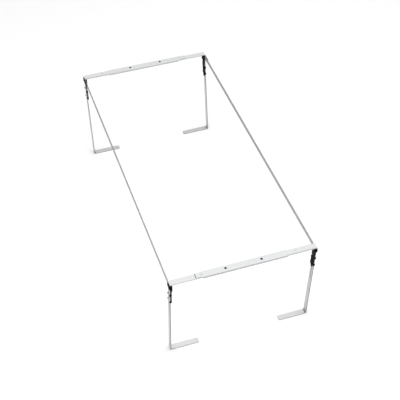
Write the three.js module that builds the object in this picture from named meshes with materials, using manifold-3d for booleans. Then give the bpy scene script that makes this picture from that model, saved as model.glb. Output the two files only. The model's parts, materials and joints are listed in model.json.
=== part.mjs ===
// Hanging file rack: an open steel frame that stands in a file drawer and carries hanging folders.
// Two edge-on side rails run from front to back. A telescoping crossbar joins them at each end, and a
// moulded bracket at each corner holds the rail, the end of the crossbar and a height-adjustable leg.
// Millimetres, +X right, +Y back, +Z up, origin on the floor below the middle of the frame.

import * as THREE from 'three';
import { mergeVertices } from 'three/addons/utils/BufferGeometryUtils.js';
import Module from 'manifold-3d';

// ---- driving dimensions ----

const INCH = 25.4;
const WIDTH = 311;              // over the outer faces of the rails and legs
const LENGTH = 722;             // from the front edge to the back edge of the crossbars
const HEIGHT = 9 * INCH;        // floor to the top of the crossbars, legs fully in
const GAP = 0.3;                // clearance between pieces that touch or slide
const SLIDE_GAP = 0.6;          // clearance between the tops of a crossbar's two halves

const SHEET = 1;                // crossbar sheet thickness
const BAR_DEPTH = 13.2;         // crossbar size along Y at its ends
const SLEEVE_DEPTH = 15.8;      // crossbar size along Y where the upper half wraps the lower half
const BAR_INSET = 0.25;         // from the frame's front edge to the edge of the crossbar's end
const LIP = 4;                  // how far the turned-down lips of a crossbar reach
const SLEEVE_LIP = 5;
const STEP_RUN = 3;             // length over which a crossbar changes width
const SLEEVE_START = 62;        // from the upper half's own end to where it widens
const UPPER_LENGTH = 257;       // length of the upper half
const TONGUE_LENGTH = 12;       // flat end of the upper half, without lips
const LOWER_LENGTH = 290;
const LOWER_STEP = 242;         // from the lower half's own end to where it narrows
const WIDTH_TRAVEL = 3 * INCH;  // letter width to legal width
const SCREW_SPACING = 3 * INCH; // the two clamp screws of a crossbar
const TONGUE_HOLE_INSET = 13;   // centre of the small hole from the tongue's tip
const END_HOLE_INSET = 45;      // centre of the small hole from the upper half's own end
const SMALL_HOLE_RADIUS = 1.5;

const STRIP_THICK = 1.5;        // legs and rails
const LEG_WIDTH = 12.5;
const LEG_TOP_DROP = 17;        // crossbar top to leg top, legs fully in
const LEG_LEAN = 20 / HEIGHT;   // the legs lean in towards the middle by this slope
const FOOT_FRONT = 64;
const FOOT_BACK = 68;
const BEND_RADIUS = 3;
const HOLE_PITCH = INCH / 4;
const LEG_HOLES = 14;
const FIRST_HOLE_DROP = 24;
const LEG_HOLE_RADIUS = 1.6;
const STRIP_CORNER = 2.5;       // rounded corners at both ends of a leg's strip

const RAIL_HEIGHT = 8.5;
const RAIL_DROP = 4.6;          // crossbar top to rail top
const RAIL_END = 1.5;           // rail end from the frame's front and back edges
const SCORE_COUNT = 3;          // notches where the rail can be shortened
const SCORE_DEPTH = 1.6;
const SCORE_HALF = 1;           // half a score notch's width, a little above the rail's edge
const NOTCH_START = 6;          // locking notch near each end of the rail, in its lower edge
const NOTCH_LENGTH = 3;
const NOTCH_DEPTH = 2;

const WALL = 1.3;               // bracket's outer wall, beside the rail
const WALL_DROP = 5.2;          // crossbar top to the top of that wall
const SEAT = 2;                 // plastic under the rail
const HEAD_REACH = 5.2;         // bracket head, inwards from the rail's outer face
const HEAD_DROP = 22;           // crossbar top to the bottom of the head
const HEAD_SLOPE = 3.5;         // height of the slope from the head down to the guide plate
const GROOVE_DEPTH = 1;         // grooves that keep the moulding's walls even
const GROOVE_RIM = 0.9;
const PLUG_REACH = 11;          // plug inside the crossbar's end
const SOCKET_SHORT = BAR_DEPTH; // rail socket length in the front brackets
const SOCKET_LONG = 32;         // and in the back brackets
const SOCKET_FLOOR = 1;         // floor of the long socket past the head
const CATCH_RADIUS = 1.6;       // round end of the catch below the crossbar

const PLATE_THICK = 2.2;        // guide plate on the leg's inner face
const PLATE_TOP = 18;           // drops from the crossbar's top, down the guide plate
const NOTCH_TOP = 31;
const NOTCH_BOTTOM = 37;
const PLATE_SQUARE = 59;
const PLATE_TIP = 68;
const NECK = 4.3;               // plate width left beside the notch
const POCKET_RIM = 2.2;
const POCKET_DEPTH = 0.8;
const POCKETS = [[39.5, 47], [50, 57.5]];
const TAB_WALL = 0.7;           // tabs round the leg's edges
const TAB_HOOK = 1.2;           // how far a tab's hook covers the leg's outer face
const OUTER_TABS = [[33, 37.5], [55, 59]];
const INNER_TABS = [[37.5, 42], [55, 59]];

const CLAMP_SCREW_RADIUS = 1.5;
const CLAMP_SCREW_LENGTH = 7.4;
const CLAMP_HEAD_RADIUS = 2.4;
const CLAMP_HEAD_HEIGHT = 1;
const DRIVER_SLOT_WIDTH = 0.8;
const DRIVER_SLOT_DEPTH = 0.5;
const WASHER_RADIUS = 4;
const WASHER_THICK = 0.8;
const NUT_RADIUS = 3.1;
const NUT_HEIGHT = 2.4;

// ---- finishes ----

const paint = (colour) => new THREE.MeshStandardMaterial({ color: colour, roughness: 0.45, metalness: 0.1 });
const whitePaint = paint(0xe9ebec);
const legSteel = new THREE.MeshStandardMaterial({ color: 0xc2c4c8, roughness: 0.42, metalness: 0.55 });
const railSteel = new THREE.MeshStandardMaterial({ color: 0xa3a5a6, roughness: 0.4, metalness: 0.75 });
const blackPlastic = new THREE.MeshStandardMaterial({ color: 0x131415, roughness: 0.5, metalness: 0 });
const blackSteel = new THREE.MeshStandardMaterial({ color: 0x222427, roughness: 0.45, metalness: 0.8 });
const zincSteel = new THREE.MeshStandardMaterial({ color: 0xb4b7bb, roughness: 0.35, metalness: 0.9 });

// ---- solids ----

const wasm = await Module();
wasm.setup();

function solidOf(geometry) {
  const bare = geometry.clone();
  bare.deleteAttribute('normal');
  bare.deleteAttribute('uv');
  const merged = mergeVertices(bare, 1e-4);
  const mesh = new wasm.Mesh({
    numProp: 3,
    vertProperties: new Float32Array(merged.attributes.position.array),
    triVerts: new Uint32Array(merged.index.array),
  });
  return new wasm.Manifold(mesh);
}

function geometryOf(solid) {
  const mesh = solid.getMesh();
  const geometry = new THREE.BufferGeometry();
  geometry.setAttribute('position', new THREE.BufferAttribute(new Float32Array(mesh.vertProperties), 3));
  geometry.setIndex(new THREE.BufferAttribute(new Uint32Array(mesh.triVerts), 1));
  return geometry;
}

const join = (...solids) => solids.reduce((all, solid) => all.add(solid));
const cut = (body, ...tools) => tools.reduce((left, tool) => left.subtract(tool), body);

// A box between two corners.
function block([x0, y0, z0], [x1, y1, z1]) {
  const geometry = new THREE.BoxGeometry(x1 - x0, y1 - y0, z1 - z0);
  geometry.translate((x0 + x1) / 2, (y0 + y1) / 2, (z0 + z1) / 2);
  return solidOf(geometry);
}

function outline(points) {
  return new THREE.Shape(points.map(([a, b]) => new THREE.Vector2(a, b)));
}

function extrude(shape, depth) {
  return new THREE.ExtrudeGeometry(shape, { depth, bevelEnabled: false, curveSegments: 4 });
}

// An outline in X and Y, filled from z low to z high.
function plate(shape, low, high) {
  const geometry = extrude(shape, high - low);
  geometry.translate(0, 0, low);
  return solidOf(geometry);
}

// An outline in Y and Z, filled from x low to x high.
function sidePlate(shape, low, high) {
  const geometry = extrude(shape, high - low);
  geometry.applyMatrix4(new THREE.Matrix4().set(0, 0, 1, low, 1, 0, 0, 0, 0, 1, 0, 0, 0, 0, 0, 1));
  return solidOf(geometry);
}

// An outline in X and Z, filled from y low to y high.
function endPlate(shape, low, high) {
  const geometry = extrude(shape, high - low);
  geometry.rotateX(Math.PI / 2);
  geometry.translate(0, high, 0);
  return solidOf(geometry);
}

// A turned body about the vertical line through (x, y), from its half profile of [radius, z] points.
function turned(x, y, profile, sides) {
  const geometry = new THREE.LatheGeometry(profile.map(([r, z]) => new THREE.Vector2(r, z)), sides);
  geometry.rotateX(Math.PI / 2);
  geometry.translate(x, y, 0);
  return solidOf(geometry);
}

// A round hole tool, along Z or along X.
function drillDown(x, y, radius, low, high, sides = 24) {
  const geometry = new THREE.CylinderGeometry(radius, radius, high - low, sides);
  geometry.rotateX(Math.PI / 2);
  geometry.translate(x, y, (low + high) / 2);
  return solidOf(geometry);
}

function drillAcross(y, z, radius, low, high, sides = 10) {
  const geometry = new THREE.CylinderGeometry(radius, radius, high - low, sides);
  geometry.rotateZ(Math.PI / 2);
  geometry.translate((low + high) / 2, y, z);
  return solidOf(geometry);
}

// ---- placing ----

const rack = new THREE.Group();
rack.name = 'hanging_file_rack';

// Adds a piece drawn in corner space: x inwards from the rail's outer face, y inwards from the frame's
// front or back edge. side is -1 for left and 1 for right, end is -1 for front and 1 for back.
function addAtCorner(name, geometry, material, side, end) {
  const placed = geometry.clone();
  placed.applyMatrix4(new THREE.Matrix4().makeScale(-side, -end, 1));
  if (side * end < 0) {
    const index = placed.index.array;
    for (let i = 0; i < index.length; i += 3) {
      [index[i + 1], index[i + 2]] = [index[i + 2], index[i + 1]];
    }
  }
  placed.computeVertexNormals();
  const mesh = new THREE.Mesh(placed, material);
  mesh.name = name;
  mesh.position.set(side * WIDTH / 2, end * LENGTH / 2, 0);
  rack.add(mesh);
}

// Leans a piece drawn upright by sliding it inwards along Y as it goes down.
function lean(geometry) {
  const leant = geometry.clone();
  const shift = LEG_LEAN * HEIGHT;
  const slide = new THREE.Matrix4().set(1, 0, 0, 0, 0, 1, -LEG_LEAN, shift, 0, 0, 1, 0, 0, 0, 0, 1);
  leant.applyMatrix4(slide);
  return leant;
}

// ---- crossbars ----

const BAR_MIDDLE = BAR_INSET + BAR_DEPTH / 2;
const LOWER_TOP = HEIGHT - SHEET - SLIDE_GAP;
const SHEET_CUT = SHEET + 1;

// A channel with its lips down, from the plan of its left half; open at both ends.
function channel(halfPlan, top, lip) {
  const mirrored = halfPlan.map(([x, y]) => [x, -y]).reverse();
  const shrink = ([x, y]) => [x, BAR_MIDDLE + y - Math.sign(y) * SHEET];
  const place = ([x, y]) => [x, BAR_MIDDLE + y];
  const outer = plate(outline([...mirrored, ...halfPlan].map(place)), top - lip, top);
  const hollowPlan = [...mirrored, ...halfPlan].map(shrink);
  const ends = hollowPlan.map(([x]) => x);
  const first = Math.min(...ends);
  const last = Math.max(...ends);
  const open = hollowPlan.map(([x, y]) => [x === first ? x - 1 : x === last ? x + 1 : x, y]);
  const hollow = plate(outline(open), top - lip - 1, top - SHEET);
  return cut(outer, hollow);
}

// The half that starts at this corner and runs under the other one. One long slot takes both screws, and
// its far end is narrow, to run inside the other half's narrow end.
function lowerCrossbar() {
  const wide = BAR_DEPTH / 2;
  const narrow = wide - SHEET - GAP;
  const halfPlan = [[LOWER_LENGTH, narrow], [LOWER_STEP + STEP_RUN, narrow], [LOWER_STEP, wide], [0, wide]];
  const bar = channel(halfPlan, LOWER_TOP, LIP - SHEET - SLIDE_GAP);
  const slotHalf = CLAMP_SCREW_RADIUS + GAP;
  const slotStart = WIDTH / 2 - SCREW_SPACING / 2;
  const slotEnd = WIDTH / 2 + SCREW_SPACING / 2 + WIDTH_TRAVEL;
  const slot = new THREE.Shape();
  slot.absarc(slotStart, BAR_MIDDLE, slotHalf, Math.PI / 2, 1.5 * Math.PI, false);
  slot.absarc(slotEnd, BAR_MIDDLE, slotHalf, 1.5 * Math.PI, 2.5 * Math.PI, false);
  return cut(bar, plate(slot, LOWER_TOP - SHEET_CUT, HEIGHT));
}

// The half that lies on top. It widens into a sleeve and ends in a flat tongue.
function upperCrossbar() {
  const narrow = BAR_DEPTH / 2;
  const wide = SLEEVE_DEPTH / 2;
  const tongueStart = UPPER_LENGTH - TONGUE_LENGTH;
  const halfPlan = [
    [UPPER_LENGTH, narrow],
    [tongueStart, narrow],
    [tongueStart - STEP_RUN, wide],
    [SLEEVE_START + STEP_RUN, wide],
    [SLEEVE_START, narrow],
    [0, narrow],
  ];
  const bar = channel(halfPlan, HEIGHT, SLEEVE_LIP);
  // Cuts the lips off up to the given height, between two distances from the half's own end.
  const trimLips = (first, last, high) => block([first, -SLEEVE_DEPTH, HEIGHT - SLEEVE_LIP - 1],
    [last, 2 * SLEEVE_DEPTH, high]);
  const shortLips = trimLips(-1, SLEEVE_START, HEIGHT - LIP);
  const noLips = trimLips(tongueStart - STEP_RUN, UPPER_LENGTH + 1, HEIGHT - SHEET);
  const drill = (x, radius) => drillDown(x, BAR_MIDDLE, radius, HEIGHT - SHEET_CUT, HEIGHT + 1);
  const screwPlaces = [-1, 1].map((way) => WIDTH / 2 + way * SCREW_SPACING / 2);
  const screwHoles = screwPlaces.map((x) => drill(x, CLAMP_SCREW_RADIUS + GAP));
  const smallPlaces = [END_HOLE_INSET, UPPER_LENGTH - TONGUE_HOLE_INSET];
  const smallHoles = smallPlaces.map((x) => drill(x, SMALL_HOLE_RADIUS));
  return cut(bar, shortLips, noLips, ...screwHoles, ...smallHoles);
}

// ---- legs ----

// One strip bent into an L: upright along the side, foot turned inwards along the floor.
function leg(footLength) {
  const top = HEIGHT - LEG_TOP_DROP;
  const section = new THREE.Shape();
  section.moveTo(0, top);
  section.lineTo(0, BEND_RADIUS);
  section.absarc(BEND_RADIUS, BEND_RADIUS, BEND_RADIUS, Math.PI, 1.5 * Math.PI, false);
  section.lineTo(footLength, 0);
  section.lineTo(footLength, STRIP_THICK);
  section.lineTo(BEND_RADIUS, STRIP_THICK);
  section.absarc(BEND_RADIUS, BEND_RADIUS, BEND_RADIUS - STRIP_THICK, 1.5 * Math.PI, Math.PI, true);
  section.lineTo(STRIP_THICK, top);
  const bent = endPlate(section, 0, LEG_WIDTH);
  const upright = sidePlate(roundedEnd(-1, top, LEG_WIDTH), -1, BEND_RADIUS);
  const foot = plate(turnedShape(roundedEnd(-1, footLength, LEG_WIDTH)), -1, BEND_RADIUS);
  const holes = Array.from({ length: LEG_HOLES }, (_, i) => drillAcross(LEG_WIDTH / 2,
    HEIGHT - FIRST_HOLE_DROP - i * HOLE_PITCH, LEG_HOLE_RADIUS, -1, STRIP_THICK + 1));
  return lean(geometryOf(cut(bent.intersect(join(upright, foot)), ...holes)));
}

// A strip's outline, square at its low end and with rounded corners at its high end.
function roundedEnd(low, high, width) {
  const radius = STRIP_CORNER;
  const shape = new THREE.Shape();
  shape.moveTo(0, low);
  shape.lineTo(width, low);
  shape.absarc(width - radius, high - radius, radius, 0, Math.PI / 2, false);
  shape.absarc(radius, high - radius, radius, Math.PI / 2, Math.PI, false);
  return shape;
}

// The same outline with its two directions exchanged.
function turnedShape(shape) {
  return new THREE.Shape(shape.getPoints(4).map((point) => new THREE.Vector2(point.y, point.x)));
}

// ---- rails ----

const RAIL_TOP = HEIGHT - RAIL_DROP;

// A strip on edge. A notch near each end drops over a nub in the bracket, and score notches near the
// back end mark where the strip can be snapped shorter.
function rail() {
  const low = RAIL_TOP - RAIL_HEIGHT;
  const first = RAIL_END;
  const last = LENGTH - RAIL_END;
  const bar = block([0, first, low], [STRIP_THICK, last, RAIL_TOP]);
  const notches = [NOTCH_START, LENGTH - NOTCH_START - NOTCH_LENGTH].map((y) => block(
    [-1, y, low - 1], [STRIP_THICK + 1, y + NOTCH_LENGTH, low + NOTCH_DEPTH]));
  const scores = Array.from({ length: SCORE_COUNT }, (_, i) => {
    const y = LENGTH - (i + 2) * INCH;
    const before = y - SCORE_HALF;
    const after = y + SCORE_HALF;
    const upper = [[before, RAIL_TOP + 1], [y, RAIL_TOP - SCORE_DEPTH], [after, RAIL_TOP + 1]];
    const lower = [[before, low - 1], [after, low - 1], [y, low + SCORE_DEPTH]];
    const tools = [upper, lower].map((points) => sidePlate(outline(points), -1, STRIP_THICK + 1));
    return join(...tools);
  });
  return geometryOf(cut(bar, ...notches, ...scores));
}

// ---- corner brackets ----

const INNER = STRIP_THICK + GAP;              // faces beside the inner faces of rail and leg
const RAIL_FLOOR = RAIL_TOP - RAIL_HEIGHT - GAP;
const LEDGE = RAIL_FLOOR - SEAT;              // underside of the plastic under the rail
const HEAD_TOP = HEIGHT - LIP - 2 * GAP;      // just below the crossbar's lips
const LIP_INNER = SHEET + GAP;

// The head carries the crossbar's end on a plug and the rail's end in a socket. A plate leads down the
// leg's inner face, and its tabs hook round both edges of the leg.
function cornerBracket(sheetTop, socketLength) {
  const bandLow = BAR_INSET;
  const bandHigh = BAR_INSET + BAR_DEPTH;
  const wallTop = HEIGHT - WALL_DROP;
  const head = endPlate(outline([
    [INNER, HEIGHT - HEAD_DROP],
    [INNER + PLATE_THICK, HEIGHT - HEAD_DROP],
    [HEAD_REACH, HEIGHT - HEAD_DROP + HEAD_SLOPE],
    [HEAD_REACH, HEAD_TOP],
    [INNER, HEAD_TOP],
    [INNER, RAIL_FLOOR],
    [-GAP, RAIL_FLOOR],
    [-GAP, wallTop],
    [-WALL - GAP, wallTop],
    [-WALL - GAP, LEDGE + WALL],
    [-GAP, LEDGE],
    [INNER, LEDGE],
  ]), bandLow, bandHigh);
  const groove = block([INNER + GROOVE_RIM, bandLow - 1, LEDGE],
    [HEAD_REACH - GROOVE_RIM, bandLow + GROOVE_DEPTH, HEAD_TOP - GROOVE_RIM]);
  const plugTop = sheetTop - SHEET - GAP;
  const plugLow = bandLow + LIP_INNER;
  const plugHigh = bandHigh - LIP_INNER;
  const plugRoot = block([INNER, plugLow, HEAD_TOP - 1], [HEAD_REACH, plugHigh, plugTop]);
  const plug = block([INNER, plugLow, HEIGHT - LIP], [PLUG_REACH, plugHigh, plugTop]);
  const stop = block([-WALL - GAP, bandLow, RAIL_FLOOR - 1], [INNER + 1, RAIL_END - GAP, wallTop]);
  const nub = block([-GAP - 0.1, NOTCH_START + GAP, RAIL_FLOOR - 1],
    [INNER + 0.1, NOTCH_START + NOTCH_LENGTH - GAP, RAIL_FLOOR + NOTCH_DEPTH - GAP]);
  const catchEnd = new THREE.CylinderGeometry(CATCH_RADIUS, CATCH_RADIUS + 0.2, 3, 12);
  catchEnd.translate(INNER + CATCH_RADIUS, bandHigh + 1, HEAD_TOP - CATCH_RADIUS - 0.4);
  const pieces = [cut(head, groove), plugRoot, plug, stop, nub, solidOf(catchEnd)];
  if (socketLength > BAR_DEPTH) {
    pieces.push(longSocket(bandHigh - 1, bandLow + socketLength, wallTop));
  }
  return geometryOf(join(...pieces, legGuide()));
}

// The part of the rail socket that reaches past the head: an outer wall and a floor.
function longSocket(start, end, wallTop) {
  const under = RAIL_FLOOR - SOCKET_FLOOR;
  return endPlate(outline([
    [-WALL - GAP, wallTop],
    [-WALL - GAP, under + WALL],
    [-GAP, under],
    [STRIP_THICK, under],
    [STRIP_THICK, RAIL_FLOOR],
    [-GAP, RAIL_FLOOR],
    [-GAP, wallTop],
  ]), start, end);
}

// The plate on the leg's inner face, with its notch, pockets and tabs, leaning with the leg.
function legGuide() {
  const far = LEG_WIDTH - GAP;
  const plan = [
    [GAP, PLATE_TOP],
    [GAP, PLATE_SQUARE],
    [LEG_WIDTH / 2, PLATE_TIP],
    [far, PLATE_SQUARE],
    [far, NOTCH_BOTTOM],
    [NECK, NOTCH_BOTTOM - 2],
    [NECK, NOTCH_TOP + 2],
    [far, NOTCH_TOP],
    [far, PLATE_TOP],
  ];
  const body = sidePlate(outline(plan.map(([y, drop]) => [y, HEIGHT - drop])), INNER, INNER + PLATE_THICK);
  const pockets = POCKETS.map(([high, low]) => block(
    [INNER + PLATE_THICK - POCKET_DEPTH, POCKET_RIM, HEIGHT - low],
    [INNER + PLATE_THICK + 1, LEG_WIDTH - POCKET_RIM, HEIGHT - high]));
  const tabs = [
    ...OUTER_TABS.map(([high, low]) => tab(-GAP, -1, HEIGHT - low, HEIGHT - high)),
    ...INNER_TABS.map(([high, low]) => tab(LEG_WIDTH + GAP, 1, HEIGHT - low, HEIGHT - high)),
  ];
  return solidOf(lean(geometryOf(join(cut(body, ...pockets), ...tabs))));
}

// A hook round one edge of the leg: edge is its face by the leg, way points away from the leg.
function tab(edge, way, low, high) {
  const outside = edge + way * TAB_WALL;
  const tip = edge - way * (GAP + TAB_HOOK);
  const rooted = (x0, x1, a, b) => block([x0, Math.min(a, b), low], [x1, Math.max(a, b), high]);
  const wall = rooted(-TAB_WALL - GAP, INNER + PLATE_THICK, outside, edge);
  const root = rooted(INNER, INNER + PLATE_THICK, outside, tip);
  const hook = rooted(-TAB_WALL - GAP, -GAP, outside, tip);
  return join(wall, root, hook);
}

// ---- fasteners ----

const SCREW_X = WIDTH / 2 - SCREW_SPACING / 2;
const WASHER_TOP = LOWER_TOP - SHEET - GAP / 2;
const NUT_TOP = WASHER_TOP - WASHER_THICK - GAP / 2;

// A domed, slotted screw with its head's underside just above the crossbar and its shank going down.
function clampScrew() {
  const base = HEIGHT + GAP / 2;
  const tip = HEIGHT - CLAMP_SCREW_LENGTH;
  const screw = turned(SCREW_X, BAR_MIDDLE, [
    [0, tip],
    [CLAMP_SCREW_RADIUS * 0.8, tip],
    [CLAMP_SCREW_RADIUS, tip + 0.3],
    [CLAMP_SCREW_RADIUS, base],
    [CLAMP_HEAD_RADIUS, base],
    [CLAMP_HEAD_RADIUS, base + CLAMP_HEAD_HEIGHT * 0.45],
    [CLAMP_HEAD_RADIUS * 0.72, base + CLAMP_HEAD_HEIGHT * 0.9],
    [0, base + CLAMP_HEAD_HEIGHT],
  ], 16);
  const slotFloor = base + CLAMP_HEAD_HEIGHT - DRIVER_SLOT_DEPTH;
  const slot = block([SCREW_X - CLAMP_HEAD_RADIUS - 1, BAR_MIDDLE - DRIVER_SLOT_WIDTH / 2, slotFloor],
    [SCREW_X + CLAMP_HEAD_RADIUS + 1, BAR_MIDDLE + DRIVER_SLOT_WIDTH / 2, base + CLAMP_HEAD_HEIGHT + 1]);
  return geometryOf(cut(screw, slot));
}

// A ring on the clamp screw. Six sides make a nut.
function ring(radius, high, low, sides) {
  const bore = CLAMP_SCREW_RADIUS + 0.1;
  const body = drillDown(SCREW_X, BAR_MIDDLE, radius, low, high, sides);
  return geometryOf(cut(body, drillDown(SCREW_X, BAR_MIDDLE, bore, low - 1, high + 1, 16)));
}

// ---- assembly ----

const SIDES = [['left', -1], ['right', 1]];
const ENDS = [['front', -1], ['back', 1]];

for (const [sideName, side] of SIDES) {
  addAtCorner(`rail_${sideName}`, rail(), railSteel, side, -1);
  for (const [endName, end] of ENDS) {
    const corner = `${endName}_${sideName}`;
    // The upper half starts at the front right and back left corners, the lower half at the others.
    const carriesUpper = side * end < 0;
    const sheetTop = carriesUpper ? HEIGHT : LOWER_TOP;
    addAtCorner(`crossbar_${endName}_${carriesUpper ? 'upper' : 'lower'}`,
      geometryOf(carriesUpper ? upperCrossbar() : lowerCrossbar()), whitePaint, side, end);
    addAtCorner(`corner_bracket_${corner}`,
      cornerBracket(sheetTop, end < 0 ? SOCKET_SHORT : SOCKET_LONG), blackPlastic, side, end);
    addAtCorner(`leg_${corner}`, leg(end < 0 ? FOOT_FRONT : FOOT_BACK), legSteel, side, end);
    // Each crossbar has two clamp screws; this corner gives the one on its own side of the middle.
    addAtCorner(`clamp_screw_${corner}`, clampScrew(), blackSteel, side, end);
    addAtCorner(`clamp_washer_${corner}`,
      ring(WASHER_RADIUS, WASHER_TOP, WASHER_TOP - WASHER_THICK, 20), zincSteel, side, end);
    addAtCorner(`clamp_nut_${corner}`,
      ring(NUT_RADIUS, NUT_TOP, NUT_TOP - NUT_HEIGHT, 6), zincSteel, side, end);
  }
}

export default rack;
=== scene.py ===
# %% [markdown]
# # A hanging file rack
# This lesson dresses a steel frame that carries hanging folders: two thin rails on edge, a
# telescoping crossbar at each end, four strip legs bent into an L, and a black moulded bracket at
# each corner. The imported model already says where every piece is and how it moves. What is left for
# Blender is how each piece looks up close: folded sheet, rolled strip, punched holes, moulded edges
# and their finishes.

# %% The frame
import json
import math

import bmesh
import bpy
from mathutils import Matrix, Vector


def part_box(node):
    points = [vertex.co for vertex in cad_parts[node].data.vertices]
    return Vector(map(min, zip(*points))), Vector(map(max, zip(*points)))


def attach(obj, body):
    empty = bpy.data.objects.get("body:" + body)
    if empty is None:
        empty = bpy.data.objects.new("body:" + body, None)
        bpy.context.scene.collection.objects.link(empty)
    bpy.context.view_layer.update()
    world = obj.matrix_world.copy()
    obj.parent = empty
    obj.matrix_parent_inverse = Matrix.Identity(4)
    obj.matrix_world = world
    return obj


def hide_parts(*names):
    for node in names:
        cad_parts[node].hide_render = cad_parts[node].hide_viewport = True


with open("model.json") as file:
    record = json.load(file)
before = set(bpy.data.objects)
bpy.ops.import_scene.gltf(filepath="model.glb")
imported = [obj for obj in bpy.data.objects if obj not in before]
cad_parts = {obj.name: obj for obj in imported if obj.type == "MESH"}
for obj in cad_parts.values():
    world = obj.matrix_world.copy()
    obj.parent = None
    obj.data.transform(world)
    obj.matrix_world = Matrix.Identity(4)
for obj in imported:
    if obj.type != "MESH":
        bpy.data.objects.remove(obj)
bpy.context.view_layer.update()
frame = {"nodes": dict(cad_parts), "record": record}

MM = 0.001

# %% [markdown]
# ## Where things are
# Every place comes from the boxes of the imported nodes, so nothing has to be fitted by eye. A corner
# of the rack has its own two directions: inwards along X from the rail's outer face, and inwards
# along Y from the frame's end. Drawing a piece once in those directions and mirroring it gives all
# four.

# %% Corners
SIDES = {"left": -1, "right": 1}
ENDS = {"front": -1, "back": 1}
CORNERS = [(end, side) for end in ENDS for side in SIDES]

leg_box = {corner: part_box("leg_{}_{}".format(*corner)) for corner in CORNERS}
rail_box = {side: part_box("rail_" + side) for side in SIDES}
SIDE_FACE = rail_box["right"][1].x
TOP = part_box("crossbar_front_upper")[1].z
RAIL_TOP = rail_box["left"][1].z
STRIP = 1.5 * MM
LEG_WIDTH = 12.5 * MM

# A leg's box is as deep as the strip is wide, plus what the leg leans over its height.
low, high = leg_box["back", "left"]
LEAN = (high.y - low.y - LEG_WIDTH) / high.z
END_FACE = high.y + LEAN * (TOP - high.z)


def corner_point(corner, inward_x, inward_y, z):
    """A point given by how far it is inwards from the corner's side face and end face."""
    end, side = corner
    return Vector((SIDES[side] * (SIDE_FACE - inward_x), ENDS[end] * (END_FACE - inward_y), z))


print("side faces are", round(SIDE_FACE / MM, 2), "mm from the middle")
print("end faces are", round(END_FACE / MM, 2), "mm from the middle")
print("the legs lean by", round(math.degrees(math.atan(LEAN)), 1), "degrees")

# %% [markdown]
# ## Camera
# The rack is seen from above and a little from its left, with a long lens, so that its far end is
# only slightly smaller than its near end.

# %% Camera
LENS = 87.2
CAMERA_AZIMUTH = math.radians(-17.74)
CAMERA_ELEVATION = math.radians(43.69)
CAMERA_ROLL = math.radians(-0.92)
CAMERA_DISTANCE = 2.2416
CAMERA_AIM = Vector((0.0167, -0.0246, 0.1))

scene = bpy.context.scene
flat_share = math.cos(CAMERA_ELEVATION)
towards_camera = Vector((
    math.sin(CAMERA_AZIMUTH) * flat_share,
    -math.cos(CAMERA_AZIMUTH) * flat_share,
    math.sin(CAMERA_ELEVATION),
))
camera = bpy.data.objects.new("camera", bpy.data.cameras.new("camera"))
camera.data.lens = LENS
camera.location = CAMERA_AIM + towards_camera * CAMERA_DISTANCE
level = (-towards_camera).to_track_quat("-Z", "Y").to_matrix()
camera.rotation_euler = (level @ Matrix.Rotation(CAMERA_ROLL, 3, "Z")).to_euler()
scene.collection.objects.link(camera)
scene.camera = camera
scene.view_settings.view_transform = "Standard"
print("camera at, in mm:", [round(x / MM) for x in camera.location])

# %% [markdown]
# ## Floor and light
# A pale floor and very wide soft lights overhead suit an open wire-thin frame: hard light would
# draw shadows thicker than the steel itself. Upward faces then come out nearly white and upright
# faces grey, which is what lets the eye read such thin pieces.

# %% Floor and light
FLOOR_SIZE = 30.0
FLOOR_COLOUR = (0.93, 0.93, 0.93)
FLOOR_ROUGHNESS = 0.9
WORLD_COLOUR = (1.0, 1.0, 1.0)
WORLD_STRENGTH = 0.22


def plain_material(name, colour, roughness):
    material = bpy.data.materials.new(name)
    material.use_nodes = True
    shader = material.node_tree.nodes["Principled BSDF"]
    shader.inputs["Base Color"].default_value = (*colour, 1)
    shader.inputs["Roughness"].default_value = roughness
    return material


def soft_light(name, place, size, power):
    """A round light that shines straight down and isn't seen itself."""
    lamp = bpy.data.lights.new(name, "AREA")
    lamp.shape = "DISK"
    lamp.size = size
    lamp.energy = power
    holder = bpy.data.objects.new(name, lamp)
    holder.location = place
    holder.visible_camera = False
    scene.collection.objects.link(holder)


bpy.ops.mesh.primitive_plane_add(size=FLOOR_SIZE)
floor = bpy.context.object
floor.name = "floor"
floor.data.materials.append(plain_material("floor_pale", FLOOR_COLOUR, FLOOR_ROUGHNESS))

world = bpy.data.worlds.new("studio")
world.use_nodes = True
background = world.node_tree.nodes["Background"]
background.inputs["Color"].default_value = (*WORLD_COLOUR, 1)
background.inputs["Strength"].default_value = WORLD_STRENGTH
scene.world = world
soft_light("ceiling", place=(0.4, -0.2, 5.0), size=8.0, power=330)
soft_light("near", place=(-0.12, -0.3, 1.7), size=1.4, power=5.5)
print("one floor, one world and two soft lights")

# %% [markdown]
# ## Nodes as arithmetic
# A procedural finish is mostly sums: this noise times that mask plus a constant. Wired by hand they
# are hard to read, so one small class stands for an output and lets Python's operators add the Math
# nodes. Colours and vectors keep their own nodes, because a Math node would turn them grey.

# %% Wires and finishes
NOISE_ROUGHNESS = 0.55
COARSE, MEDIUM, FINE, FINEST = 2.0, 3.0, 4.0, 5.0


class Wire:
    """The output of a node, which can be used in arithmetic."""

    def __init__(self, finish, socket):
        self.finish = finish
        self.socket = socket

    def math(self, operation, first, second):
        return self.finish.node("ShaderNodeMath", {"operation": operation}, {0: first, 1: second})

    def __add__(self, other):
        return self.math("ADD", self, other)

    def __radd__(self, other):
        return self.math("ADD", other, self)

    def __sub__(self, other):
        return self.math("SUBTRACT", self, other)

    def __rsub__(self, other):
        return self.math("SUBTRACT", other, self)

    def __mul__(self, other):
        return self.math("MULTIPLY", self, other)

    def __rmul__(self, other):
        return self.math("MULTIPLY", other, self)


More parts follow.
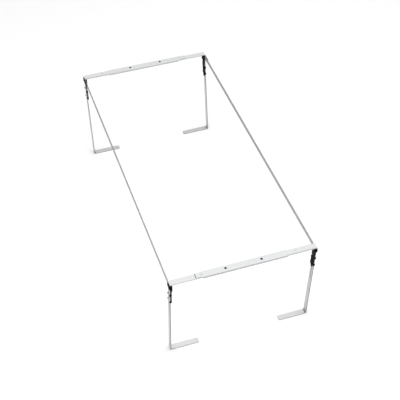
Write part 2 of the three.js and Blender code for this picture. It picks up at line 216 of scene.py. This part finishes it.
class Finish:
    """A material, and the one way to add a node to it."""

    def __init__(self, name):
        self.material = bpy.data.materials.new(name)
        self.material.use_nodes = True
        self.tree = self.material.node_tree
        self.shader = self.tree.nodes["Principled BSDF"]

    def node(self, kind, settings, values, output=0):
        made = self.tree.nodes.new(kind)
        for name, value in settings.items():
            setattr(made, name, value)
        for name, value in values.items():
            self.feed(made.inputs[name], value)
        return Wire(self, made.outputs[output])

    def feed(self, socket, value):
        if isinstance(value, Wire):
            self.tree.links.new(value.socket, socket)
        else:
            socket.default_value = value

    def set(self, values):
        for name, value in values.items():
            self.feed(self.shader.inputs[name], value)

    def place(self):
        return self.node("ShaderNodeTexCoord", {}, {}, "Object")

    def noise(self, size, detail, stretch=(1, 1, 1)):
        """Soft noise whose grains are about size metres across, drawn out by stretch."""
        scale = [1 / (size * s) for s in stretch]
        where = self.node("ShaderNodeMapping", {}, {"Vector": self.place(), "Scale": scale})
        return self.node("ShaderNodeTexNoise", {}, {
            "Vector": where, "Scale": 1.0, "Detail": detail, "Roughness": NOISE_ROUGHNESS,
        }, "Fac")

    def band(self, value, low, high):
        """0 below low, 1 above high, smooth between; high may be the smaller one."""
        settings = {"interpolation_type": "SMOOTHSTEP"}
        values = {"Value": value, "From Min": low, "From Max": high}
        return self.node("ShaderNodeMapRange", settings, values)

    def blend(self, share, first, second):
        """From the first colour to the second; each is three numbers or another colour."""
        first, second = (c if isinstance(c, Wire) else (*c, 1) for c in (first, second))
        return self.node("ShaderNodeMix", {"data_type": "RGBA"}, {0: share, 6: first, 7: second}, 2)

    def mark(self, name):
        """The number that the mesh's faces carry under this name."""
        return self.node("ShaderNodeAttribute", {"attribute_name": name}, {}, "Fac")

    def axis(self, name):
        return self.node("ShaderNodeSeparateXYZ", {}, {"Vector": self.place()}, name)

    def relief(self, height, depth):
        """A bump from a height of 0 to 1 that is depth metres high."""
        values = {"Height": height, "Distance": depth, "Strength": 1.0}
        self.set({"Normal": self.node("ShaderNodeBump", {}, values, "Normal")})


print("shader arithmetic is ready")

# %% [markdown]
# ## Pale powder coat for the crossbars
# Powder coat flows out as it bakes, but never quite flat: it keeps a fine ripple called orange
# peel. Over that lie faint differences in gloss where hands and folders rub. The sheared edges of
# the sheet are painted nearly black. This is partly because they carry less powder and show bare
# steel, and partly painted shade for the gap at the tongue's step and the shadow line under the lips.
# A band of painted shade also darkens the lower edge of each lip. The pieces mark the sheared
# faces themselves, with a number on each face called cut_edge.

# %% Powder coat
POWDER_COLOURS = (0.61, 0.622, 0.63), (0.655, 0.663, 0.667)
POWDER_LIP_SHADE = (0.16, 0.162, 0.165)
POWDER_SHEARED_AND_SHADE = (0.04, 0.041, 0.043)
POWDER_RUBBED = (0.57, 0.58, 0.59)
POWDER_CLOUD = 60 * MM
POWDER_ROUGHNESS = 0.34
POWDER_METALLIC = 0.05
LIP_SHADE_START = 3.6 * MM
LIP_SHADE_END = 4.8 * MM
PEEL_SIZE = 1.6 * MM
PEEL_DEPTH = 0.05 * MM
GRIT_SIZE = 0.35 * MM
HAND_SIZE = 14 * MM
HAND_STRETCH = (3, 1, 1)
HAND_PATCHES = 0.56, 0.72


def powder_coat():
    finish = Finish("crossbar_powder_coat")
    peel = finish.noise(PEEL_SIZE, COARSE)
    grit = finish.noise(GRIT_SIZE, COARSE)
    cloud = finish.noise(POWDER_CLOUD, MEDIUM)
    rubbed = finish.band(finish.noise(HAND_SIZE, FINEST, HAND_STRETCH), *HAND_PATCHES)
    edge = finish.mark("cut_edge")
    colour = finish.blend(cloud, *POWDER_COLOURS)
    # Painted shade: the lower edge of each lip is darkened, standing in for the shadow line beneath
    # it.
    painted_lip_shade = finish.band(finish.axis("Z"), TOP - LIP_SHADE_START, TOP - LIP_SHADE_END)
    colour = finish.blend(painted_lip_shade * 0.6, colour, POWDER_LIP_SHADE)
    # Cut faces go nearly black: partly bare steel, partly painted shade for the gap at the tongue's
    # step and the shadow line under the lips.
    colour = finish.blend(edge * 0.9, colour, POWDER_SHEARED_AND_SHADE)
    colour = finish.blend(rubbed * 0.15, colour, POWDER_RUBBED)
    finish.set({
        "Base Color": colour,
        "Roughness": POWDER_ROUGHNESS + 0.1 * cloud + 0.12 * rubbed,
        "Metallic": POWDER_METALLIC,
    })
    finish.relief(peel * 0.8 + grit * 0.2, PEEL_DEPTH)
    return finish.material


# %% [markdown]
# ## Coated strip for the legs
# The legs are cut from narrow strip that was coated in the coil, so their coating is thinner and
# shinier than powder, with faint lines from rolling along the strip. Where a leg slides through its
# bracket the tabs leave long scratches. Both are noise drawn out along the leg. The cut faces, the
# walls of the holes among them, are painted dark: partly bare steel and partly painted shade in the
# holes. The faces inside the bend are marked and painted darker still, as painted shade in the
# crease.

# %% Strip coating
STRIP_COLOURS = (0.58, 0.583, 0.594), (0.64, 0.643, 0.65)
STRIP_SCRATCHED = (0.34, 0.34, 0.35)
STRIP_SHEARED_AND_SHADE = (0.10, 0.10, 0.105)
STRIP_BEND_SHADE = (0.08, 0.08, 0.085)
STRIP_CLOUD = 45 * MM
STRIP_ROUGHNESS = 0.3
STRIP_METALLIC = 0.35
ROLLING_SIZE = 0.5 * MM
ROLLING_STRETCH = (1, 1, 90)
ROLLING_DEPTH = 0.03 * MM
SCRATCH_SIZE = 0.7 * MM
SCRATCH_STRETCH = (1, 1, 60)
SCRATCH_PATCHES = 0.6, 0.68
GUIDE_FULL = 60 * MM
GUIDE_NONE = 85 * MM


def strip_coating():
    finish = Finish("leg_strip_coating")
    rolling = finish.noise(ROLLING_SIZE, MEDIUM, ROLLING_STRETCH)
    cloud = finish.noise(STRIP_CLOUD, MEDIUM)
    in_guide = finish.band(finish.axis("Z"), TOP - GUIDE_NONE, TOP - GUIDE_FULL)
    streak = finish.noise(SCRATCH_SIZE, FINE, SCRATCH_STRETCH)
    scratch = finish.band(streak, *SCRATCH_PATCHES) * in_guide
    edge = finish.mark("cut_edge")
    painted_bend_shade = finish.mark("painted_bend_shade")
    colour = finish.blend(cloud, *STRIP_COLOURS)
    colour = finish.blend(scratch * 0.5, colour, STRIP_SCRATCHED)
    # Cut faces are darkened: partly bare steel, partly painted shade inside the holes.
    colour = finish.blend(edge * 0.8, colour, STRIP_SHEARED_AND_SHADE)
    # Painted shade: the faces inside the bend are darkened as if shadowed.
    colour = finish.blend(painted_bend_shade * 0.8, colour, STRIP_BEND_SHADE)
    finish.set({
        "Base Color": colour,
        "Roughness": STRIP_ROUGHNESS + 0.12 * rolling + 0.1 * cloud,
        "Metallic": STRIP_METALLIC,
    })
    finish.relief(rolling * 0.6 + scratch * 0.4, ROLLING_DEPTH)
    return finish.material


# %% [markdown]
# ## Bare steel for the rails
# The rails are plain rolled strip with a clear lacquer. Rolling leaves a lengthwise grain, and the
# hooks of the folders polish a brighter line along the top edge as they are pushed to and fro.

# %% Rail steel
RAIL_COLOURS = (0.34, 0.34, 0.343), (0.43, 0.43, 0.434)
RAIL_GRAIN = (0.26, 0.26, 0.262)
RAIL_POLISHED = (0.56, 0.56, 0.56)
RAIL_SHEARED = (0.20, 0.20, 0.205)
RAIL_CLOUD = 50 * MM
RAIL_CLOUD_STRETCH = (1, 2, 1)
RAIL_ROUGHNESS = 0.36
RAIL_METALLIC = 0.8
GRAIN_SIZE = 0.4 * MM
GRAIN_STRETCH = (1, 160, 1)
GRAIN_DEPTH = 0.02 * MM
HOOK_SIZE = 30 * MM
HOOK_PATCHES = 0.35, 0.6
POLISH_FULL = 0.2 * MM
POLISH_NONE = 0.9 * MM


def rail_steel():
    finish = Finish("rail_rolled_steel")
    grain = finish.noise(GRAIN_SIZE, FINE, GRAIN_STRETCH)
    cloud = finish.noise(RAIL_CLOUD, MEDIUM, RAIL_CLOUD_STRETCH)
    polished = finish.band(finish.axis("Z"), RAIL_TOP - POLISH_NONE, RAIL_TOP - POLISH_FULL)
    rubbed = polished * finish.band(finish.noise(HOOK_SIZE, FINE), *HOOK_PATCHES)
    edge = finish.mark("cut_edge")
    colour = finish.blend(cloud, *RAIL_COLOURS)
    colour = finish.blend(grain * 0.35, colour, RAIL_GRAIN)
    colour = finish.blend(rubbed * 0.6, colour, RAIL_POLISHED)
    colour = finish.blend(edge * 0.5, colour, RAIL_SHEARED)
    finish.set({
        "Base Color": colour,
        "Roughness": RAIL_ROUGHNESS + 0.14 * grain - 0.1 * rubbed,
        "Metallic": RAIL_METALLIC,
    })
    finish.relief(grain, GRAIN_DEPTH)
    return finish.material


# %% [markdown]
# ## Moulded nylon for the brackets
# A mould for black nylon is spark-eroded to a fine matt grain, which hides flow marks. Raised
# corners are rubbed smoother and a little greyer than the faces between them. The worn corners are
# marked on the mesh, because a material can't tell a corner from a face in a way that survives
# export.

# %% Black nylon
NYLON_COLOURS = (0.002, 0.0021, 0.0023), (0.004, 0.0042, 0.0045)
NYLON_WORN = (0.010, 0.0103, 0.0107)
NYLON_SCUFFED = (0.016, 0.0165, 0.017)
NYLON_CLOUD = 12 * MM
NYLON_ROUGHNESS = 0.5
NYLON_SHINE = 0.04
SPARK_SIZE = 0.28 * MM
SPARK_DEPTH = 0.04 * MM
PIT_SIZE = 0.5 * MM
SCUFF_SIZE = 4 * MM
SCUFF_STRETCH = (1, 1, 3)
SCUFF_PATCHES = 0.6, 0.72


def black_nylon():
    finish = Finish("bracket_black_nylon")
    spark = finish.noise(SPARK_SIZE, COARSE)
    pits = finish.node("ShaderNodeTexVoronoi", {"feature": "F1"}, {
        "Vector": finish.place(), "Scale": 1 / PIT_SIZE,
    }, "Distance")
    cloud = finish.noise(NYLON_CLOUD, MEDIUM)
    scuff = finish.band(finish.noise(SCUFF_SIZE, FINEST, SCUFF_STRETCH), *SCUFF_PATCHES)
    corner = finish.mark("corner")
    colour = finish.blend(cloud, *NYLON_COLOURS)
    colour = finish.blend(corner * 0.5, colour, NYLON_WORN)
    colour = finish.blend(scuff * 0.25, colour, NYLON_SCUFFED)
    finish.set({
        "Base Color": colour,
        "Roughness": NYLON_ROUGHNESS + 0.1 * spark - 0.14 * corner,
        "Specular IOR Level": NYLON_SHINE,
    })
    finish.relief(spark * 0.6 + pits * 0.4, SPARK_DEPTH)
    return finish.material


# %% [markdown]
# ## Zinc plate and black oxide for the fasteners
# The screws are blackened, so they show as dark dots on the pale bars; washers and nuts are zinc
# plated. Thin clear plate splits light slightly, so the zinc drifts between a bluish and a
# yellowish grey.

# %% Fastener finishes
ZINC_COLOURS = (0.62, 0.64, 0.68), (0.72, 0.70, 0.64)
OXIDE_COLOURS = (0.012, 0.012, 0.014), (0.09, 0.09, 0.095)
ZINC_ROUGHNESS = 0.24
OXIDE_ROUGHNESS = 0.38
OXIDE_METALLIC = 0.6
TINT_SIZE = 3 * MM
CRYSTAL_SIZE = 0.25 * MM
SPECK_SIZE = 0.3 * MM
DRIVER_SIZE = 1.2 * MM
DRIVER_PATCHES = 0.58, 0.7
PLATE_DEPTH = 0.01 * MM


def zinc_plate():
    finish = Finish("fastener_zinc_plate")
    tint = finish.noise(TINT_SIZE, MEDIUM)
    crystal = finish.noise(CRYSTAL_SIZE, MEDIUM)
    colour = finish.blend(tint, *ZINC_COLOURS)
    finish.set({
        "Base Color": colour,
        "Roughness": ZINC_ROUGHNESS + 0.2 * crystal,
        "Metallic": 1.0,
    })
    finish.relief(crystal, PLATE_DEPTH)
    return finish.material


def black_oxide():
    finish = Finish("screw_black_oxide")
    speck = finish.noise(SPECK_SIZE, MEDIUM)
    rubbed = finish.band(finish.noise(DRIVER_SIZE, FINE), *DRIVER_PATCHES)
    colour = finish.blend(rubbed * 0.4, *OXIDE_COLOURS)
    finish.set({
        "Base Color": colour,
        "Roughness": OXIDE_ROUGHNESS + 0.2 * speck,
        "Metallic": OXIDE_METALLIC,
    })
    finish.relief(speck, PLATE_DEPTH)
    return finish.material


FINISHES = {
    "white_paint": powder_coat(),
    "leg_steel": strip_coating(),
    "rail_steel": rail_steel(),
    "black_plastic": black_nylon(),
    "zinc_steel": zinc_plate(),
    "black_steel": black_oxide(),
}
SLOT_OF = {part["node"]: part["material_slot"] for part in frame["record"]["subparts"]}
BODIES = frame["record"]["behaviour"]["bodies"]
BODY_OF = {node: body for body, nodes in BODIES.items() for node in nodes}
print("finishes:", ", ".join(FINISHES))

# %% [markdown]
# ## From a mesh to a piece of the rack
# Every piece ends the same way: its mesh becomes an object, takes the finish of its slot, rides on
# the body of the node that it stands for, and hides that node. Flat faces stay flat and rounded
# edges smooth if faces are shaded smooth and only edges above a limit are marked sharp.

# %% Finishing a piece
SHARP = math.radians(35)
CORNER = math.radians(30)
FLAT = math.radians(1)
MERGE = 0.005 * MM
ROUND_SEGMENTS = 2


def finish_piece(node, mesh_data):
    """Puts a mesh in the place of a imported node."""
    for polygon in mesh_data.polygons:
        polygon.use_smooth = True
    mesh_data.set_sharp_from_angle(angle=SHARP)
    piece = bpy.data.objects.new(node + "_detail", mesh_data)
    piece.modifiers.new("even_shading", "WEIGHTED_NORMAL").keep_sharp = True
    mesh_data.materials.clear()
    mesh_data.materials.append(FINISHES[SLOT_OF[node]])
    scene.collection.objects.link(piece)
    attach(piece, BODY_OF[node])
    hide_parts(node)
    return piece


def mesh_from(shape, name):
    """A mesh made from a bmesh, with its normals facing out."""
    bmesh.ops.recalc_face_normals(shape, faces=shape.faces)
    data = bpy.data.meshes.new(name)
    shape.to_mesh(data)
    shape.free()
    return data


def packed_shape(node):
    """A node's own mesh as a bmesh, with the triangles of each flat face joined up again."""
    shape = bmesh.new()
    shape.from_mesh(frame["nodes"][node].data)
    bmesh.ops.remove_doubles(shape, verts=shape.verts, dist=MERGE)
    bmesh.ops.dissolve_limit(
        shape, angle_limit=FLAT, verts=shape.verts, edges=shape.edges, use_dissolve_boundaries=False,
    )
    return shape


def soften(shape, edges, radius, segments):
    """Rounds the given edges."""
    made = bmesh.ops.bevel(
        shape, geom=list(edges), offset=radius, offset_type="OFFSET", segments=segments, profile=0.5,
        affect="EDGES", clamp_overlap=True,
    )
    return made["faces"]


def is_corner(edge, limit=CORNER):
    return len(edge.link_faces) == 2 and edge.calc_face_angle(0) > limit


def mark(shape, name, faces):
    """Writes a number on every face: 1 on the given ones, 0 on the rest."""
    shape.faces.index_update()
    chosen = [face.index for face in faces]
    layer = shape.faces.layers.float.new(name)  # from here on the given faces are stale
    shape.faces.ensure_lookup_table()
    for index in chosen:
        shape.faces[index][layer] = 1.0


print("ready to build pieces")

# %% [markdown]
# ## Crossbars: folded sheet
# A crossbar half is a channel folded from one-millimetre sheet. A fold can't be sharp: its outside
# has a radius of about the sheet's thickness, while the sheared edges stay almost square. So the
# long edges between the top and the lips get a wide rounding, and most other edges a very small
# one. The tongue's end is pressed to a ramp, so that nothing catches on it, and the lips' lower
# edges are rubbed down by hands.

# %% Crossbars
FOLD_RADIUS = 1.1 * MM
SHEARED_RADIUS = 0.12 * MM
WORN_EDGE = 0.45 * MM
TONGUE_RAMP = 0.9 * MM
FOLD_SEGMENTS = 4
SQUARE_CORNER = math.radians(50)
CHAMFER_SHARE = 0.6
UPRIGHT_SHARE = 0.3
SAME_PLACE = 0.01 * MM
LIP_MIN_FACE = 60 * MM * MM
LIP_EDGE_DROP = 2 * MM


def crossbar(node):
    shape = packed_shape(node)
    top = max(vertex.co.z for vertex in shape.verts)

    def on_top(edge):
        return all(abs(v.co.z - top) < SAME_PLACE for v in edge.verts)

    def by_lip(edge):
        return any(
            abs(face.normal.z) < UPRIGHT_SHARE and face.calc_area() > LIP_MIN_FACE
            for face in edge.link_faces
        )

    def at_tongue(edge):
        return all(abs(v.co.x - tongue_end) < SAME_PLACE for v in edge.verts)

    def under_lip(edge):
        return all(v.co.z < top - LIP_EDGE_DROP for v in edge.verts) and by_lip(edge)

    def corners(chosen, limit=CORNER):
        return [edge for edge in shape.edges if is_corner(edge, limit) and chosen(edge)]

    reaches = [vertex.co.x for vertex in shape.verts]
    tongue_end = min(min(reaches), max(reaches), key=abs)
    soften(shape, corners(lambda edge: on_top(edge) and by_lip(edge)), FOLD_RADIUS, FOLD_SEGMENTS)
    soften(shape, corners(lambda edge: on_top(edge) and at_tongue(edge)), TONGUE_RAMP, 1)
    soften(shape, corners(under_lip), WORN_EDGE, 1)
    soften(shape, corners(lambda edge: True, SQUARE_CORNER), SHEARED_RADIUS, ROUND_SEGMENTS)
    # The powder coat paints these faces nearly black: partly bare steel, partly painted shade for the
    # step at the tongue and the line under the lips.
    sheared = [
        face for face in shape.faces
        if abs(face.normal.x) > CHAMFER_SHARE
        or face.normal.z < -CHAMFER_SHARE and face.calc_center_median().z < top - LIP_EDGE_DROP
    ]
    mark(shape, "cut_edge", sheared)
    return finish_piece(node, mesh_from(shape, node + "_mesh"))


def face_count(pieces):
    return sum(len(piece.data.polygons) for piece in pieces)


crossbars = [crossbar(node) for node in sorted(frame["nodes"]) if node.startswith("crossbar_")]
print("crossbar halves:", len(crossbars), "with", face_count(crossbars), "faces")

# %% [markdown]
# ## Brackets: moulded nylon
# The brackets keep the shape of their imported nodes. What a mould adds is a small radius on every
# outer corner, because sharp corners tear and wear.

# %% Brackets
MOULD_RADIUS = 0.3 * MM


def bracket(node):
    shape = packed_shape(node)
    corners = [edge for edge in shape.edges if is_corner(edge)]
    rounded = soften(shape, corners, MOULD_RADIUS, ROUND_SEGMENTS)
    mark(shape, "corner", rounded)
    return finish_piece(node, mesh_from(shape, node + "_mesh"))


brackets = [bracket("corner_bracket_{}_{}".format(*corner)) for corner in CORNERS]
print("brackets:", len(brackets), "with", face_count(brackets), "faces")

# %% [markdown]
# ## Strip: a flat blank with rounded edges
# Rails and legs both start as blanks cut from flat strip. A two-dimensional curve makes such a
# blank in one go: its first loop is the outline, loops inside it are holes, and a little bevel
# rounds every edge the way a worn punch leaves it. The blank lies flat, its length along X and its
# width along Y.

# %% Blanks
EDGE_ROUND = 0.12 * MM
CIRCLE_POINTS = 28
QUARTER_TURN = math.pi / 2
QUARTER_STEPS = 8
BLANK_MERGE = 0.003 * MM
CUT_TOLERANCE = 0.001 * MM
STEEP_SHARE = 0.7


def circle(centre, radius):
    turns = [2 * math.pi * i / CIRCLE_POINTS for i in range(CIRCLE_POINTS)]
    return [(centre[0] + radius * math.cos(a), centre[1] + radius * math.sin(a)) for a in turns]


def rounded_end(far, width, radius):
    """The outline points of a strip's end with two rounded corners, from low Y to high Y."""
    points = []
    for corner_y, start in ((radius, -QUARTER_TURN), (width - radius, 0)):
        for i in range(QUARTER_STEPS + 1):
            angle = start + QUARTER_TURN * i / QUARTER_STEPS
            x = far - radius + radius * math.cos(angle)
            points.append((x, corner_y + radius * math.sin(angle)))
    return points


def blank(name, loops, thickness):
    """A bmesh of flat strip from its loops, its lower face at Z = 0, with the cut faces marked."""
    curve = bpy.data.curves.new(name, "CURVE")
    curve.dimensions = "2D"
    curve.fill_mode = "BOTH"
    curve.extrude = thickness / 2 - EDGE_ROUND
    curve.bevel_depth = EDGE_ROUND
    curve.bevel_resolution = 1
    curve.offset = -EDGE_ROUND
    for loop in loops:
        spline = curve.splines.new("POLY")
        spline.points.add(len(loop) - 1)
        for point, (x, y) in zip(spline.points, loop):
            point.co = (x, y, 0, 1)
        spline.use_cyclic_u = True
    holder = bpy.data.objects.new(name, curve)
    scene.collection.objects.link(holder)
    solid = holder.evaluated_get(bpy.context.evaluated_depsgraph_get()).to_mesh()
    shape = bmesh.new()
    shape.from_mesh(solid)
    holder.to_mesh_clear()
    bpy.data.objects.remove(holder)
    bpy.data.curves.remove(curve)
    bmesh.ops.translate(shape, verts=shape.verts, vec=(0, 0, thickness / 2))
    bmesh.ops.remove_doubles(shape, verts=shape.verts, dist=BLANK_MERGE)
    bmesh.ops.recalc_face_normals(shape, faces=shape.faces)
    mark(shape, "cut_edge", [face for face in shape.faces if abs(face.normal.z) < STEEP_SHARE])
    return shape


def cut_across(shape, places):
    """Adds a line of vertices across a blank at each X, so that it can bend there."""
    for place in places:
        everything = [*shape.verts, *shape.edges, *shape.faces]
        bmesh.ops.bisect_plane(
            shape, geom=everything, dist=CUT_TOLERANCE, plane_co=(place, 0, 0), plane_no=(1, 0, 0),
        )


print("blanks can be cut")

# %% [markdown]
# ## Legs: bend, lean and mirror
# A leg is a blank with a row of height holes, bent once to a right angle. Bending is only a map:
# along the foot and the upright a point keeps its distance from the bend, and in between its
# distance turns into an angle. The length stays true halfway through the strip, which is where real
# sheet neither stretches nor shrinks. Then the upright leans by sliding each level sideways, so
# that the foot stays level, and the corner's two directions mirror the leg to where it belongs.

# %% Legs
BEND_RADIUS = 3 * MM
BEND_STEPS = 10
HOLE_PITCH = 6.35 * MM
HOLE_COUNT = 14
HOLE_RADIUS = 1.6 * MM
FIRST_HOLE_DROP = 24 * MM
STRIP_CORNER = 2.5 * MM


def leg(corner):
    node = "leg_{}_{}".format(*corner)
    low, high = leg_box[corner]
    foot_length = high.x - low.x
    middle_radius = BEND_RADIUS - STRIP / 2
    arc = middle_radius * QUARTER_TURN
    foot_tip = BEND_RADIUS - foot_length
    upright_tip = arc + high.z - BEND_RADIUS

    foot_end = [(-x, y) for x, y in rounded_end(-foot_tip, LEG_WIDTH, STRIP_CORNER)]
    top_end = rounded_end(upright_tip, LEG_WIDTH, STRIP_CORNER)
    loops = [top_end + foot_end[::-1]]
    for i in range(HOLE_COUNT):
        height = TOP - FIRST_HOLE_DROP - i * HOLE_PITCH
        loops.append(circle((arc + height - BEND_RADIUS, LEG_WIDTH / 2), HOLE_RADIUS))
    shape = blank(node, loops, STRIP)
    cut_across(shape, [arc * i / BEND_STEPS for i in range(BEND_STEPS + 1)])
    centres = {face: face.calc_center_median() for face in shape.faces}
    # The faces inside the bend get a mark that the coating paints as shade.
    painted_bend_shade_faces = [
        face for face, centre in centres.items()
        if 0 < centre.x < arc and centre.z > STRIP - EDGE_ROUND
    ]
    mark(shape, "painted_bend_shade", painted_bend_shade_faces)

    for vertex in shape.verts:
        along, across, through = vertex.co
        angle = min(max(along / middle_radius, 0), QUARTER_TURN)
        reach = BEND_RADIUS - through
        inward = BEND_RADIUS - reach * math.sin(angle) - min(along, 0)
        height = BEND_RADIUS - reach * math.cos(angle) + max(along - arc, 0)
        vertex.co = corner_point(corner, inward, across + LEAN * (TOP - height), height)
    return finish_piece(node, mesh_from(shape, node + "_mesh"))


legs = [leg(corner) for corner in CORNERS]
print("legs:", len(legs), "with", HOLE_COUNT, "holes each")

# %% [markdown]
# ## Rails: strip on edge
# A rail is a blank seen from its side. Its score marks are a pair of small notches with a shallow
# groove pressed between them, which is where the strip snaps. The groove is made like the bend was:
# cut lines across the blank, then move the middle one.

# %% Rails
SCORE_PITCH = 25.4 * MM
SCORE_COUNT = 3
FIRST_SCORE = 2
SCORE_DEPTH = 1.6 * MM
SCORE_HALF = 0.6 * MM
GROOVE_HALF = 0.45 * MM
GROOVE_DEPTH = 0.3 * MM
NOTCH_START = 6 * MM
NOTCH_LENGTH = 3 * MM
NOTCH_DEPTH = 2 * MM


def rail(side):
    node = "rail_" + side
    low, high = rail_box[side]
    height = high.z - low.z
    front, back = END_FACE + low.y, END_FACE + high.y
    length = 2 * END_FACE
    scores = [length - (i + FIRST_SCORE) * SCORE_PITCH for i in range(SCORE_COUNT)]
    locks = [NOTCH_START, length - NOTCH_START - NOTCH_LENGTH]

    lower = [(front, 0)]
    for place in sorted(scores + locks):
        if place in locks:
            after = place + NOTCH_LENGTH
            lower += [(place, 0), (place, NOTCH_DEPTH), (after, NOTCH_DEPTH), (after, 0)]
        else:
            lower += [(place - SCORE_HALF, 0), (place, SCORE_DEPTH), (place + SCORE_HALF, 0)]
    upper = [(back, 0), (back, height)]
    for place in sorted(scores, reverse=True):
        upper += [
            (place + SCORE_HALF, height), (place, height - SCORE_DEPTH), (place - SCORE_HALF, height),
        ]
    shape = blank(node, [lower + upper + [(front, height)]], STRIP)
    cut_across(shape, [place + step * GROOVE_HALF for place in scores for step in (-1, 0, 1)])

    for vertex in shape.verts:
        along, up, through = vertex.co
        if through < EDGE_ROUND and min(abs(along - place) for place in scores) < 2 * CUT_TOLERANCE:
            through += GROOVE_DEPTH
        vertex.co = (SIDES[side] * (SIDE_FACE - through), along - END_FACE, low.z + up)
    return finish_piece(node, mesh_from(shape, node + "_mesh"))


rails = [rail(side) for side in SIDES]
print("rails:", len(rails), "with", SCORE_COUNT, "score marks each")

# %% [markdown]
# ## Fasteners: one turned body for all
# A screw head, a thread, a nut and a washer are all a stack of rings. Only the radius differs:
# constant for a washer, falling towards the top for a dome, following a hexagon for a nut, and
# rising and falling with both angle and height for a thread. So one function stacks rings, and
# takes the radius as a function of the angle.

# %% Turned bodies
RING_SIDES = 48


def turned_body(shape, centre, rings, bore=0.0):
    """Adds a closed body; rings are (height, radius or function of the angle), going up."""
    angles = [2 * math.pi * i / RING_SIDES for i in range(RING_SIDES)]

    def loop(height, radius):
        reach = [radius(a) if callable(radius) else radius for a in angles]
        return [
            shape.verts.new((centre[0] + r * math.cos(a), centre[1] + r * math.sin(a), height))
            for a, r in zip(angles, reach)
        ]

    def skin(below, above):
        for i in range(RING_SIDES):
            j = (i + 1) % RING_SIDES
            shape.faces.new((below[i], below[j], above[j], above[i]))

    outer = [loop(height, radius) for height, radius in rings]
    for below, above in zip(outer, outer[1:]):
        skin(below, above)
    if bore:
        inner = [loop(rings[0][0], bore), loop(rings[-1][0], bore)]
        skin(outer[-1], inner[1])
        skin(inner[1], inner[0])
        skin(inner[0], outer[0])
    else:
        shape.faces.new(outer[-1])
        shape.faces.new(outer[0][::-1])


def middle(node):
    low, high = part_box(node)
    return (low + high) / 2, low.z, high.z


print("turned bodies have", RING_SIDES, "sides")

# %% [markdown]
# ## Screws, nuts and washers
# The screw is a domed head with a driver slot, on a threaded shank. A boolean cuts the slot with a
# box that is half above the head. Nut and washer hang under the lower crossbar half, where only a
# look from below finds them.

# %% Screws, nuts and washers
THREAD_PITCH = 0.5 * MM
THREAD_DEPTH = 0.22 * MM
THREAD_STEPS = 5
SHANK_RADIUS = 1.5 * MM
TIP_SHARE = 0.75
HEAD_RADIUS = 2.4 * MM
HEAD_HEIGHT = 1.0 * MM
DOME_STEPS = 7
DOME_START = 0.4
DOME_ARC = math.radians(80)
DOME_POWER = 0.8
CROWN_SHARE = 0.2
SLOT_WIDTH = 0.8 * MM
SLOT_DEPTH = 0.5 * MM
BREAK = 0.1 * MM
NUT_CHAMFER = 0.35 * MM
NUT_FLARE = 1.02
HALF_FLAT = math.pi / 6


def thread(height):
    """The radius of the thread at a height, as a function of the angle."""
    def radius(angle):
        phase = (height / THREAD_PITCH - angle / (2 * math.pi)) % 1
        return SHANK_RADIUS - THREAD_DEPTH * abs(2 * phase - 1)

    return radius


def subtract(mesh_data, tool_data):
    """The first mesh with the second one cut away."""
    body, tool = (bpy.data.objects.new(data.name, data) for data in (mesh_data, tool_data))
    for item in (body, tool):
        scene.collection.objects.link(item)
    cut = body.modifiers.new("cut", "BOOLEAN")
    cut.operation = "DIFFERENCE"
    cut.solver = "EXACT"
    cut.object = tool
    depsgraph = bpy.context.evaluated_depsgraph_get()
    result = bpy.data.meshes.new_from_object(body.evaluated_get(depsgraph), depsgraph=depsgraph)
    for item in (body, tool):
        bpy.data.objects.remove(item)
    return result


def screw(node):
    centre, low, high = middle(node)
    base = high - HEAD_HEIGHT
    dome_base = base + HEAD_HEIGHT * DOME_START
    head = [(base, HEAD_RADIUS - BREAK), (base + BREAK, HEAD_RADIUS), (dome_base, HEAD_RADIUS)]
    for i in range(1, DOME_STEPS):
        angle = DOME_ARC * i / DOME_STEPS
        rise = (high - dome_base) * math.sin(angle)
        head.append((dome_base + rise, HEAD_RADIUS * math.cos(angle) ** DOME_POWER))
    head.append((high, HEAD_RADIUS * CROWN_SHARE))
    dome = bmesh.new()
    turned_body(dome, centre, head)
    tool = bmesh.new()
    bmesh.ops.create_cube(tool, size=1.0)
    tool_size = (4 * HEAD_RADIUS, SLOT_WIDTH, 2 * SLOT_DEPTH)
    bmesh.ops.scale(tool, verts=tool.verts, vec=tool_size)
    bmesh.ops.translate(tool, verts=tool.verts, vec=(centre.x, centre.y, high))
    slotted = subtract(mesh_from(dome, node + "_head"), mesh_from(tool, node + "_slot"))

    whole = bmesh.new()
    whole.from_mesh(slotted)
    length = base + 2 * BREAK - low
    count = round(length / THREAD_PITCH * THREAD_STEPS)
    heights = [low + length * i / count for i in range(count + 1)]
    tip = (low, SHANK_RADIUS * TIP_SHARE)
    turned_body(whole, centre, [tip] + [(height, thread(height)) for height in heights[1:]])
    return finish_piece(node, mesh_from(whole, node + "_mesh"))


def nut(node):
    centre, low, high = middle(node)
    corner_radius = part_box(node)[1].y - centre.y
    flat_radius = corner_radius * math.cos(HALF_FLAT)

    def hexagon(limit):
        def radius(angle):
            off = (angle - QUARTER_TURN + HALF_FLAT) % (2 * HALF_FLAT) - HALF_FLAT
            return min(flat_radius / math.cos(off), limit)

        return radius

    chamfered = hexagon(flat_radius * NUT_FLARE)
    full = hexagon(corner_radius)
    shape = bmesh.new()
    rings = [
        (low, chamfered), (low + NUT_CHAMFER, full), (high - NUT_CHAMFER, full), (high, chamfered),
    ]
    turned_body(shape, centre, rings, SHANK_RADIUS + BREAK)
    return finish_piece(node, mesh_from(shape, node + "_mesh"))


def washer(node):
    centre, low, high = middle(node)
    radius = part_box(node)[1].x - centre.x
    shape = bmesh.new()
    rings = [
        (low, radius - BREAK), (low + BREAK, radius), (high - BREAK, radius), (high, radius - BREAK),
    ]
    turned_body(shape, centre, rings, SHANK_RADIUS + BREAK)
    return finish_piece(node, mesh_from(shape, node + "_mesh"))


fasteners = []
for corner in CORNERS:
    fasteners.append(screw("clamp_screw_{}_{}".format(*corner)))
    fasteners.append(nut("clamp_nut_{}_{}".format(*corner)))
    fasteners.append(washer("clamp_washer_{}_{}".format(*corner)))
print("fasteners:", len(fasteners), "with", face_count(fasteners), "faces")
